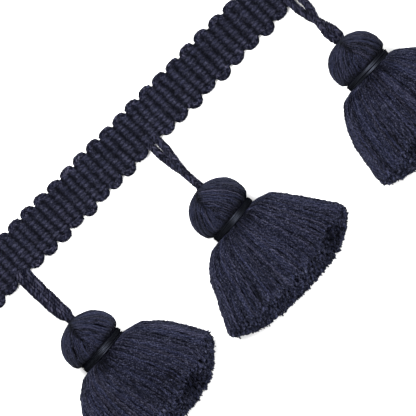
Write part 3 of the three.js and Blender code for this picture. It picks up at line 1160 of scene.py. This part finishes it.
@dataclass
class Head:
    """The ball of a tassel: fine strands that part at its top and run down to the neck."""

    sizes: TasselSizes
    strands: int = 270
    samples: int = 18
    strand: Yarn = Yarn(radius=0.25, sides=4, plies=2.0, ply_depth=0.15, turn_length=1.8)
    under: float = 0.9
    pole_angle: float = 0.12
    lower_fullness: float = 0.72
    parted: float = 0.66
    parting_width: float = 1.5
    entry_width: float = 2.4
    mouth_drop: float = 1.3
    mouth_depth: float = 0.4
    mouth_shade: float = 0.9
    seam_width: float = 0.055
    seam_depth: float = 0.6
    seam_shade: float = 0.95
    way_power: float = 1.5
    fan_power: float = 0.56
    stray: float = 0.06
    crimp: float = 0.05
    kink: float = 0.03
    depths: tuple[float, float] = (0.02, 0.4)
    depth_shade: float = 1.4
    heave: float = 0.12
    tuck: float = 0.7
    ball_rings: int = 15
    ball_around: int = 40
    ball_height: float = 0.15
    ball_drop: float = 0.3
    ball_inset: float = 0.2

    def profile(self, share: Points) -> tuple[Points, Points]:
        """Finds the ball's radius and drop at shares of the way from its pole to its base.

        Args:
            share: From 0 at the pole to 1 at the neck.

        Returns:
            The radii and the drops under the pole.
        """
        s = self.sizes
        narrowing = math.acos(s.base_radius / s.head_radius)
        angle = self.pole_angle + share * (math.pi / 2 + narrowing - self.pole_angle)
        upper = angle < math.pi / 2
        depth = np.where(upper, s.widest_drop, (s.head_length - s.widest_drop) / math.sin(narrowing))
        fuller = np.where(upper, s.crown, self.lower_fullness)
        return s.head_radius * np.sin(angle) ** fuller, s.widest_drop - depth * np.cos(angle)

    def placed(self, radius: Points | float, drop: Points | float, angle: Points) -> Points:
        """Places points round the head's axis, which runs from the hanger's entry to the neck."""
        return self.sizes.wound(radius, drop, angle, self.sizes.entry * hump(radius, self.entry_width))

    def ball(self) -> bpy.types.Object:
        """Builds the closed ball under the strands, with a flat spot where it rests.

        Returns:
            The mesh object.
        """
        radius, drop = self.profile(np.linspace(0.0, 1.0, self.ball_rings))
        radius = radius * (1 - self.under / self.sizes.head_radius) - self.ball_inset
        angle = np.linspace(0, TURN, self.ball_around, endpoint=False)
        rings = [self.placed(r, d, angle) for r, d in zip(radius, drop + self.ball_drop)]
        return lofted(f"head_ball_{self.sizes.name}", lifted(np.array(rings), self.ball_height), Finish.DEPTH)

    def strand_path(self, away: float, rng: np.random.Generator) -> Path:
        """Works out one strand's line from the parting down to the neck.

        Args:
            away: Its angle from the parting, round the neck.
            rng: The source of its unevenness.

        Returns:
            The line. It lies in shade at the seam, in the dimple's mouth and at its foot.
        """
        near = max(0.0, 1 - abs(away) / self.parting_width)
        begin = self.parted * near**1.15 + rng.uniform(0.0, 0.04)
        way = np.linspace(0.0, 1.0, self.samples) ** self.way_power
        share = begin + (1 - begin) * way
        radius, drop = self.profile(share)
        gathered = smoothstep(abs(away), self.parting_width, math.pi)
        opened = gathered + (1 - gathered) * way**self.fan_power
        stray = rng.normal(0, self.stray) * smoothstep(way, 0.0, 0.25)
        crimp = self.crimp * slow_noise(rng, self.samples, 5) + self.kink * slow_noise(rng, self.samples, 12)
        angle = math.radians(self.sizes.parting) + away * opened + stray + crimp
        seam = hump(way, self.seam_width) * (0.35 + 0.65 * smoothstep(near, 0.0, 0.3))
        mouth = hump(drop, self.mouth_drop)
        depth = rng.uniform(*self.depths)
        raised = radius - depth - self.seam_depth * seam - self.mouth_depth * mouth
        raised -= self.tuck * smoothstep(share, 0.955, 1.0) - self.heave * slow_noise(rng, self.samples, 6)
        world = lifted(self.placed(np.maximum(raised, 0.5), drop, angle), self.strand.radius)
        widths = np.clip(0.5 + 0.6 * radius / self.sizes.head_radius, 0.4, 1.1) * rng.uniform(0.75, 1.2)
        aside = smoothstep(abs(away), 0.1, 0.7)
        foot = (0.75 + 0.2 * aside) * smoothstep(share, 0.88 - 0.12 * aside + rng.uniform(-0.04, 0.04), 1.0)
        dark = depth * self.depth_shade + self.seam_shade * seam + foot
        dark += self.mouth_shade * mouth * hump((radius - 1.2).clip(0), 3.0)
        return Path(world, widths, np.clip(dark, 0.0, 1.0))

    def build(self) -> None:
        """Builds the head, a dark ball covered with strands."""
        name, seed = self.sizes.name, self.sizes.seed
        rng = np.random.default_rng(seed + 100)
        angles = np.linspace(-math.pi, math.pi, self.strands, endpoint=False)
        angles = angles + rng.normal(0, 0.02, self.strands)
        paths = [self.strand_path(angle, rng) for angle in angles.tolist()]
        strands = self.strand.along(f"head_strands_{name}", paths, Finish.HEAD, seed)
        finish_piece(joined(f"head_{name}_strands", strands, self.ball()), "head_strands", f"head_{name}")


@dataclass
class Binding:
    """The dark thread wound round the neck."""

    sizes: TasselSizes
    turns: int = 8
    samples: int = 48
    # A painted highlight on top of the neck: where it lies across the neck and how wide it is.
    rubbed_at: float = 0.9
    rubbed_width: float = 1.8
    inset: float = 0.35
    bulge: float = 0.2
    drop_wander: float = 0.34
    radius_wander: float = 0.14
    # Painted shade all round the winding, and how much of it the painted highlight takes away.
    shade: float = 0.98
    rub: float = 0.9
    rub_wander: float = 0.4
    edge: float = 0.1
    around: int = 40
    bed_radii: tuple[float, ...] = (7.6, 7.6, 8.7, 8.8, 8.7)
    thread: Yarn = Yarn(radius=0.23, sides=6, plies=2.0, ply_depth=0.08, turn_length=1.2)

    def winding(self, rng: np.random.Generator) -> Path:
        """Works out the thread's line round the neck, turn by turn.

        Args:
            rng: The source of its unevenness.

        Returns:
            The line. It lies in painted shade, with a painted highlight on top of the neck.
        """
        s = self.sizes
        count = self.turns * self.samples
        share = np.linspace(0, 1, count)
        angle = share * self.turns * TURN
        drop = s.head_length + s.gap + self.edge + (s.binding_height - 2 * self.edge) * share
        drop += self.drop_wander * slow_noise(rng, count, 3 * self.turns)
        radius = s.binding_radius - self.inset + self.bulge * np.sin(math.pi * share)
        radius += self.radius_wander * slow_noise(rng, count, 5 * self.turns)
        world = lifted(s.wound(radius, drop, angle), self.thread.radius)
        # Painted shade all round, with less of it in an uneven painted highlight on top of the neck.
        crown = hump(radius * np.cos(angle) - self.rubbed_at, self.rubbed_width) * (np.sin(angle) > 0)
        highlight_unevenness = 1 + self.rub_wander * slow_noise(rng, count, 8 * self.turns)
        return Path(world, 1.0, self.shade - self.rub * crown * highlight_unevenness)

    def bed(self) -> bpy.types.Object:
        """Builds the closed ring that the thread is wound on.

        Returns:
            The mesh object.
        """
        s = self.sizes
        top, base = s.head_length - self.edge, s.head_length + s.gap + s.binding_height + self.edge
        drops = (top, base, base, (top + base) / 2, top)
        angle = np.linspace(0, TURN, self.around, endpoint=False)
        rings = [s.wound(radius, drop, angle) for radius, drop in zip(self.bed_radii, drops)]
        return lofted(f"binding_bed_{s.name}", rings, Finish.DEPTH, capped=False)

    def build(self) -> None:
        """Builds the binding, thread wound on its bed."""
        name, seed = self.sizes.name, self.sizes.seed
        rng = np.random.default_rng(seed + 200)
        wound = self.thread.along(f"binding_wound_{name}", [self.winding(rng)], Finish.THREAD, seed)
        finish_piece(joined(f"binding_thread_{name}", wound, self.bed()), "binding_thread", f"binding_{name}")


@dataclass
class Skirt:
    """The cut strands that spread from the neck and lie on the surface.

    A strand's place is its share of the half-width at the hem, negative to the left, and its
    share of the height. The bend's rows are a drop under the neck and the strands' distance
    from the tassel's axis there.
    """

    sizes: TasselSizes
    section_power: float = 0.86
    section_centre: float = 0.42
    typical_height: float = 17.0
    typical_half: float = 30.0
    hem_slope: float = 6.6
    corner_power: float = 3.0
    bend: Rows = ((-2.0, 7.7), (0.0, 8.0), (0.6, 8.9), (3.0, 10.2))
    flare: float = 2.2
    comb_from: float = -12.0
    comb_to: float = 30.0
    hollow_width: float = 4.6
    hollow_depth: float = 3.2

    yarn: Yarn = Yarn(radius=0.4, sides=6, ply_depth=0.32, turn_length=3.4)
    samples_per_turn: float = 7.0
    outer_spacing: float = 0.75
    spacing_drop: float = 18.0
    lower_part: float = 0.3
    lower_share: float = 0.62
    upper_part: float = 0.4
    outer_start: float = -1.8
    bundle: float = 0.06
    raggedness: float = 0.3
    upper_raggedness: float = 0.35
    tuft_length: float = 1.5
    tuft_hollow: float = 1.2
    bundle_length: float = 14.0
    crimp: float = 0.25
    wave: float = 0.26
    inset: float = 0.1
    heave: float = 0.3
    alternation: float = 0.3
    sinking: float = 0.55
    sunk_shade: float = 0.7
    shade_wander: float = 0.42
    # Painted shade under the neck: the share across where it is strongest, and its width.
    tucked_at: float = 0.12
    tucked_width: float = 0.42

    inner_yarn: Yarn = Yarn(radius=0.6, sides=6, ply_depth=0.22, turn_length=3.4)
    inner_spacing: float = 1.35
    inner_length: float = 6.5
    inner_samples: int = 8
    inner_power: float = 2.3
    inner_reach: float = 0.93
    inner_ragged: float = 0.35
    inner_sway: float = 0.35
    inner_heave: float = 0.25
    inner_shades: tuple[float, float] = (-0.2, 0.4)
    hollow_shade: float = 0.7
    # Painted shade on the upper part of each inner strand.
    burial: float = 0.75

    fibre: Yarn = Yarn(radius=0.24, sides=3, ply_depth=0.0)
    fibres_outside: int = 5
    fibres_inside: int = 4
    fibre_spread: float = 0.34

    mass_around: int = 44
    mass_shares: tuple[float, ...] = (0.0, 0.03, *np.linspace(0.08, 0.84, 10).tolist())
    mass_width: float = 0.95
    mass_height: float = 0.9

    def section(self, angle: Points) -> tuple[Points, Points]:
        """Finds the skirt's outline, as shares of its half-width and its height.

        Args:
            angle: Angles round the skirt: 0 is right and a quarter turn is up.

        Returns:
            The shares across and up.
        """
        across = signed_power(np.cos(angle), self.section_power)
        rise = signed_power(np.sin(angle), self.section_power)
        return across, np.maximum(self.section_centre + (1 - self.section_centre) * rise, 0.0)

    def rise(self, up: Points | float) -> Points | float:
        """Turns a share of the height into how far it lies above the section's widest place."""
        return (up - self.section_centre) / (1 - self.section_centre)

    def spread(self, across: Points | float, up: Points | float, drop: Points) -> Points:
        """Finds the line of a strand that keeps its share of the height.

        Args:
            across: Its share of the half-width.
            up: Its share of the height.
            drop: The drops under the neck at which to find it.

        Returns:
            The points.
        """
        s = self.sizes
        combed = s.sweep * (1 - across**2) * (1 - smoothstep(drop, self.comb_from, self.comb_to))
        share = across - combed
        x = s.x + share * s.side(share, drop)
        flat = np.column_stack([x, s.neck()[1] - drop, up * between(s.skirt, drop, 3)])
        angle = np.arctan2(self.rise(up), share)
        axial = s.head_length + s.gap + s.binding_height + drop
        eased = smoothstep(drop, -0.4, self.flare)[:, None]
        return s.wound(between(self.bend, drop, 1), axial, angle) * (1 - eased) + flat * eased

    def end_drop(self, across: float, up: float) -> float:
        """Works out how far below the neck a strand ends.

        Args:
            across: Its share of the half-width.
            up: Its share of the height.

        Returns:
            The drop, which is less at the corners and in the upper layers.
        """
        s = self.sizes
        corner = s.corner_right if across > 0 else s.corner_left
        sag = min(1.0, abs(across) ** (self.corner_power / self.section_power))
        slope = self.hem_slope * max(0.0, self.rise(up)) ** (1 / self.section_power)
        return s.hem_drop - (s.hem_drop - corner) * sag - slope

    def hollowed(self, x: float, up: float) -> float:
        """Works out how open the hem stands at a place: 1 in the middle of its hollow and 0 away."""
        return hump(x - self.sizes.x - self.sizes.hollow, self.hollow_width) * smoothstep(up, 0.2, 0.42)

    def outer_shares(self) -> list[tuple[float, float]]:
        """Spaces the outer strands round the skirt, wider where it lies.

        Returns:
            Their shares across and up.
        """
        angle = np.linspace(0, TURN, 721)
        across, up = self.section(angle)
        half = self.sizes.side(across, self.spacing_drop)
        height = between(self.sizes.skirt, self.spacing_drop, 3)
        steps = np.hypot(np.diff(across * half), np.diff(up * height))
        steps *= np.where(up[1:] < self.lower_part, self.lower_share, 1.0)
        travelled = np.concatenate([[0.0], np.cumsum(steps)])
        count = int(travelled[-1] / self.outer_spacing)
        places = np.interp(np.arange(count) * travelled[-1] / count, travelled, angle)
        return list(zip(*(shares.tolist() for shares in self.section(places))))

    def settled(self, line: Points, inward: Points, sideways: Points) -> Points:
        """Moves a strand in towards the middle of the skirt and to one side.

        Args:
            line: Its points.
            inward: How far each one moves in.
            sideways: How far each one moves aside.

        Returns:
            The moved points, none of them under the surface that the skirt lies on.
        """
        away = line - [self.sizes.x, 0.0, self.section_centre * self.typical_height]
        away[:, 1] = 0.0
        away /= np.linalg.norm(away, axis=1, keepdims=True)
        side = np.cross(away, [0.0, 1.0, 0.0])
        moved = line - away * inward[:, None] + side * sideways[:, None]
        return lifted(moved, self.yarn.radius * 1.2)

    def outer_paths(self, rng: np.random.Generator) -> list[Path]:
        """Works out the lines of the strands that show.

        Args:
            rng: The source of their unevenness.

        Returns:
            The lines.
        """
        shares = self.outer_shares()
        total = len(shares)
        gather = self.bundle * slow_noise(rng, total, total // 3)
        part = self.bundle * slow_noise(rng, total, total // 4)
        cut = slow_noise(rng, total, total // 4)
        found = []
        for number, (across, up) in enumerate(shares):
            upper = max(0.0, up - self.upper_part) / (1 - self.upper_part)
            end = self.end_drop(across, up) + rng.normal(0, self.raggedness + self.upper_raggedness * upper)
            open_here = self.hollowed(self.sizes.x + across * self.typical_half, up)
            end += upper * (self.tuft_length * cut[number] - self.tuft_hollow * open_here)
            count = int((end + 2) / self.yarn.turn_length * self.samples_per_turn)
            drop = np.linspace(self.outer_start, end, count)
            sideways = self.crimp * slow_noise(rng, count, 22) + self.wave * slow_noise(rng, count, 8)
            sideways += gather[number] + part[number] * drop / self.bundle_length
            sunk = rng.uniform(0.0, self.sinking) * smoothstep(drop, 2.0, 9.0)
            inward = self.yarn.radius + self.inset + sunk + self.heave * slow_noise(rng, count, 17)
            inward += self.alternation * (number % 2) * (1 - smoothstep(drop, 1.0, 9.0))
            line = self.settled(self.spread(across, up, drop), inward, sideways * smoothstep(drop, 1.0, 8.0))
            widths = (0.5 + 0.5 * smoothstep(drop, -1.0, 11.0)) * rng.uniform(0.86, 1.14)
            # Painted shade at the top of the skirt, under the neck, strongest near the middle.
            neck_shade = 0.5 + 0.5 * hump(across - self.tucked_at, self.tucked_width)
            shade = self.sunk_shade * sunk + self.shade_wander * slow_noise(rng, count, 20)
            shade += neck_shade * (1 - smoothstep(drop, 0.5, 8.5))
            found.append(Path(line, widths, np.clip(shade, 0.0, 1.0)))
        return found

    def inner_paths(self, rng: np.random.Generator) -> list[Path]:
        """Works out the last stretch of the strands inside, whose cut ends show at the hem.

        Args:
            rng: The source of their unevenness.

        Returns:
            The lines.
        """
        s, step, count = self.sizes, self.inner_spacing, self.inner_samples
        half = max(between(s.skirt, s.hem_drop, column) for column in (1, 2))
        height = between(s.skirt, 32.0, 3)
        # Painted shade that fades out along each inner strand towards its cut end.
        buried_shade = self.burial * (1 - smoothstep(np.linspace(0, 1, count), 0.55, 0.95))
        found = []
        for row, z in enumerate(np.arange(step * 0.6, height - step * 0.7, step * 0.87)):
            for x in np.arange(-half, half, step) + (row % 2) * step / 2:
                across, up = x / half + rng.normal(0, 0.006), z / height
                rise = self.rise(up) if up > self.section_centre else up - self.section_centre
                reach = abs(across) ** self.inner_power + abs(rise) ** self.inner_power
                if reach > self.inner_reach - 0.05 * abs(rise):
                    continue
                open_here = self.hollowed(s.x + x, up)
                end = self.end_drop(across, up) - self.hollow_depth * open_here
                end += rng.normal(-0.1, self.inner_ragged)
                line = self.spread(across, up, np.linspace(end - self.inner_length, end, count))
                line[:, 0] += self.inner_sway * slow_noise(rng, count, 3)
                line[:, 2] += self.inner_heave * slow_noise(rng, count, 3)
                line = lifted(line, self.inner_yarn.radius * 1.2)
                deep = self.hollow_shade * open_here + rng.uniform(*self.inner_shades) + buried_shade
                found.append(Path(line, rng.uniform(0.8, 1.2), np.clip(deep, 0.0, 1.0)))
        return found

    def frayed(self, paths: Sequence[Path], rng: np.random.Generator, each: int) -> list[Path]:
        """Works out the short fibres that stand out of the cut ends.

        Args:
            paths: The strands whose ends are frayed.
            rng: The source of the fibres' directions.
            each: How many fibres one end has.

        Returns:
            The fibres' lines.
        """
        found = []
        for path in paths:
            end = path.points[-1]
            way = end - path.points[-3]
            way /= np.linalg.norm(way)
            for _ in range(each):
                aside = rng.normal(0, self.fibre_spread, 3)
                start = end + aside * 0.6 - way * 0.6
                tip = end + way * rng.uniform(-0.3, 0.05) + aside * 1.1
                middle = (start + tip) / 2 + rng.normal(0, 0.08, 3)
                line = lifted(np.array([start, middle, tip]), 0.3)
                # Each fibre takes on most of its strand end's painted shade.
                tone = np.clip(path.deep[-1] * 0.75 + rng.uniform(-0.25, 0.2), 0.0, 1.0)
                found.append(Path(line, np.array([1.0, 1.1, 0.9]) * rng.uniform(0.7, 1.3), tone))
        return found

    def mass(self) -> bpy.types.Object:
        """Builds the closed mass of strands under the outer ones.

        Returns:
            The mesh object.
        """
        across, up = self.section(np.linspace(0, TURN, self.mass_around, endpoint=False))
        ends = np.array([self.end_drop(a, u) for a, u in zip(across, up)])
        inside = self.section_centre + (up - self.section_centre) * 0.9
        rings = [self.spread(across * self.mass_width, inside, share * ends) for share in self.mass_shares]
        neck = self.sizes.neck()
        rings[0] = neck + (rings[0] - neck) * 0.85
        rings = lifted(np.array(rings), self.mass_height)
        return lofted(f"skirt_mass_{self.sizes.name}", rings, Finish.DEPTH)

    def build(self) -> None:
        """Builds the skirt's pieces: its outer strands, and its cut ends over the mass."""
        name, seed = self.sizes.name, self.sizes.seed
        rng = np.random.default_rng(seed + 300)
        outer, inner = self.outer_paths(rng), self.inner_paths(rng)
        strands = self.yarn.along(f"skirt_strands_{name}", outer, Finish.SKIRT, seed)
        ends = self.inner_yarn.along(f"skirt_inner_{name}", inner, Finish.ENDS, seed + 1)
        frayed = self.frayed(outer, rng, self.fibres_outside) + self.frayed(inner, rng, self.fibres_inside)
        fibres = self.fibre.along(f"skirt_fibres_{name}", frayed, Finish.ENDS, seed + 2)
        finish_piece(strands, "skirt_yarn", f"skirt_{name}")
        finish_piece(joined(f"skirt_ends_{name}", ends, fibres, self.mass()), "skirt_yarn")


@dataclass
class Tassel:
    """One tassel on its hanger."""

    sizes: TasselSizes

    def build(self) -> None:
        """Builds the hanger, head, binding and skirt."""
        for part in (Hanger, Head, Binding, Skirt):
            part(self.sizes).build()


def skirt_rows(left: Sequence[float], right: Sequence[float], height: Sequence[float]) -> Rows:
    """Lists a skirt's rows: the half-widths and the height at each drop under the neck."""
    return tuple(zip((2, 5, 9, 15, 21, 26, 34), left, right, height))


TASSELS = (
    TasselSizes(
        name="1", seed=1, x=-63.28, pole_x=-0.07, top_y=-29.2, turn=4.1, entry=0.9,
        head_radius=10.8, widest_drop=9.7, head_length=12.9, binding_height=2.4,
        hem_drop=34.5, corner_left=26.0, corner_right=20.8, sweep=0.33, hollow=14.0,
        parting=99.0, hanger_slant=0.62, hanger_lean=0.14,
        hanger=(
            (0.0, 0, 1.2, 1.4), (0.35, -14, 1.16, 1.4), (0.7, -26, 1.12, 1.38), (0.87, -32, 1.05, 1.3),
            (0.96, -40, 0.4, 0.88),
        ),
        skirt=skirt_rows(
            (11.8, 16.0, 19.2, 22.2, 24.4, 26.0, 26.0),
            (17.8, 21.1, 24.5, 28.0, 31.1, 31.4, 31.4),
            (18.8, 18.6, 18.1, 17.1, 15.9, 14.9, 13.2),
        ),
    ),
    TasselSizes(
        name="2", seed=2, x=0.0, pole_x=-1.4, top_y=-28.7, turn=5.4, entry=1.72,
        head_radius=10.85, widest_drop=9.7, head_length=14.3, binding_height=2.1,
        hem_drop=33.5, corner_left=26.0, corner_right=23.5, sweep=0.08, hollow=19.5,
        parting=108.0,
        hanger=(
            (0.0, 0, 1.6, 1.0), (0.15, 0, 1.5, 1.0), (0.33, 41, 1.4, 1.12), (0.46, 62, 1.4, 1.1),
            (0.62, 85, 1.35, 1.12), (0.75, 90, 1.3, 1.06), (0.88, 90, 1.2, 1.0), (0.95, 90, 0.4, 0.95),
        ),
        skirt=skirt_rows(
            (13.5, 17.7, 21.0, 23.7, 26.9, 29.3, 29.3),
            (16.2, 18.6, 21.6, 25.6, 29.6, 30.7, 30.7),
            (18.8, 18.6, 18.1, 17.1, 15.9, 14.9, 13.2),
        ),
    ),
    TasselSizes(
        name="3", seed=3, x=68.1, pole_x=-0.25, top_y=-27.7, turn=0.5, entry=0.7,
        head_radius=10.2, crown=0.82, widest_drop=8.9, head_length=12.3, binding_height=2.0,
        hem_drop=35.0, corner_left=30.2, corner_right=28.0, sweep=-0.02, hollow=-8.0,
        parting=87.0,
        hanger=(
            (0.0, 0, 1.72, 1.06), (0.14, 4, 1.7, 1.06), (0.24, 20, 1.5, 1.06), (0.34, 50, 1.4, 1.06),
            (0.48, 90, 1.35, 1.06), (0.62, 112, 1.35, 1.06), (0.76, 150, 1.46, 1.06),
            (0.91, 172, 1.4, 1.06), (0.98, 180, 0.4, 1.0),
        ),
        skirt=skirt_rows(
            (14.6, 17.2, 19.8, 22.1, 23.1, 24.1, 24.5),
            (12.9, 16.4, 20.0, 24.6, 27.4, 28.6, 28.6),
            (18.2, 18.0, 17.5, 16.6, 15.6, 14.7, 13.2),
        ),
    ),
)


# ---------------------------------------------------------------- the studio


@dataclass
class Studio:
    """The camera over the trim, a pale floor and soft light."""

    look_at: tuple[float, float, float] = (-3.05, -35.5, 4.0)
    roll: float = -45.56
    field_of_view: float = 141.0
    lens: float = 500.0
    sensor: float = 36.0
    floor_size: float = 4000.0
    floor_depth: float = 0.05
    floor_tone: float = 0.97
    sky: float = 0.76

    def camera(self) -> None:
        """Makes the camera, which looks straight down and is turned about its own axis."""
        data = bpy.data.cameras.new("camera")
        data.lens, data.sensor_width = self.lens, self.sensor
        data.clip_start, data.clip_end = 0.05, 10.0
        distance = self.field_of_view * self.lens / self.sensor
        made = linked(bpy.data.objects.new("camera", data))
        made.location = (Vector(self.look_at) + Vector((0.0, 0.0, distance))) * MM
        made.rotation_euler = (0.0, 0.0, math.radians(self.roll))
        bpy.context.scene.camera = made

    def lamp(self, name: str, place: tuple[float, float, float], size: float, power: float) -> None:
        """Makes one square soft light that faces the trim.

        Args:
            name: The light's name.
            place: Where it stands, in millimetres from the middle of the picture.
            size: The length of its side, in millimetres.
            power: Its power, in watts.
        """
        data = bpy.data.lights.new(name, "AREA")
        data.energy, data.size = power, size * MM
        made = linked(bpy.data.objects.new(name, data))
        made.location = (Vector(self.look_at) + Vector(place)) * MM
        made.rotation_euler = (-Vector(place)).to_track_quat("-Z", "Y").to_euler()

    def floor(self) -> bpy.types.Object:
        """Makes the floor, just under the surface that the trim lies on.

        Returns:
            The floor.
        """
        half = self.floor_size / 2
        corners = [(-half, -half), (half, -half), (half, half), (-half, half)]
        data = bpy.data.meshes.new("floor")
        data.from_pydata([(x * MM, y * MM, -self.floor_depth * MM) for x, y in corners], [], [(0, 1, 2, 3)])
        material = bpy.data.materials.new("pale_floor")
        material.use_nodes = True
        looks = {"Base Color": (self.floor_tone,) * 3, "Roughness": 0.9, "Specular IOR Level": 0.1}
        set_inputs(material.node_tree.nodes["Principled BSDF"], looks)
        data.materials.append(material)
        return linked(bpy.data.objects.new("floor", data))

    def build(self) -> None:
        """Makes the floor, the lights and the world."""
        self.floor()
        world = bpy.data.worlds.new("studio")
        world.use_nodes = True
        set_inputs(world.node_tree.nodes["Background"], {"Color": (1.0, 1.0, 1.0), "Strength": self.sky})
        bpy.context.scene.world = world
        bpy.context.scene.view_settings.view_transform = "Standard"
        self.lamp("key", (-60.0, 195.0, 340.0), 190.0, 3.6)
        self.lamp("fill", (420.0, -160.0, 640.0), 500.0, 5.6)


def main() -> None:
    """Builds the studio, the heading and the tassels, in that order."""
    logging.basicConfig(level=logging.INFO, format="%(name)s: %(message)s")
    studio = Studio()
    studio.camera()
    Heading().build()
    for sizes in TASSELS:
        Tassel(sizes).build()
    studio.build()


if __name__ == "__main__":
    main()
